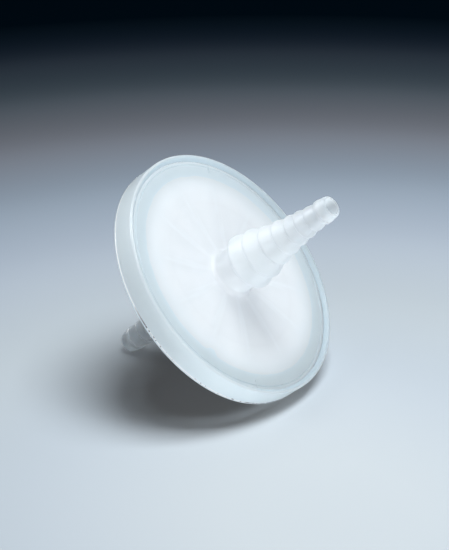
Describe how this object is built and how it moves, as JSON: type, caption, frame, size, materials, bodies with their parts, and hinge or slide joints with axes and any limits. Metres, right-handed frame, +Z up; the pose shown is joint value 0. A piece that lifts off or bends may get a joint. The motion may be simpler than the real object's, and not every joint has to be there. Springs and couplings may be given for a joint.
{
  "type": "in-line disc filter",
  "caption": "Round sealed disc filter in milky polypropylene, with a white membrane inside and a stepped hose barb on each side, lying on its rim and one barb.",
  "frame": {"origin": "bottom centre of the bounding box, on the surface that the filter lies on", "axes": "+Z up; the filter's axis lies in the XZ plane and the inlet barb points to +X and up; +Y runs across the disc"},
  "size_m": [0.0548, 0.0602, 0.0487],
  "materials": {
    "housing": "natural polypropylene, moulded, milky and translucent, satin",
    "band": "natural polypropylene, overmoulded, milky and translucent, satin",
    "membrane": "expanded PTFE membrane, opaque white, matte",
    "support": "non-woven polypropylene, white, matte"
  },
  "bodies": {
    "root": {"inlet_shell": "housing", "outlet_shell": "housing", "rim_band": "band", "membrane": "membrane", "inlet_support": "support", "outlet_support": "support"}
  },
  "joints": []
}
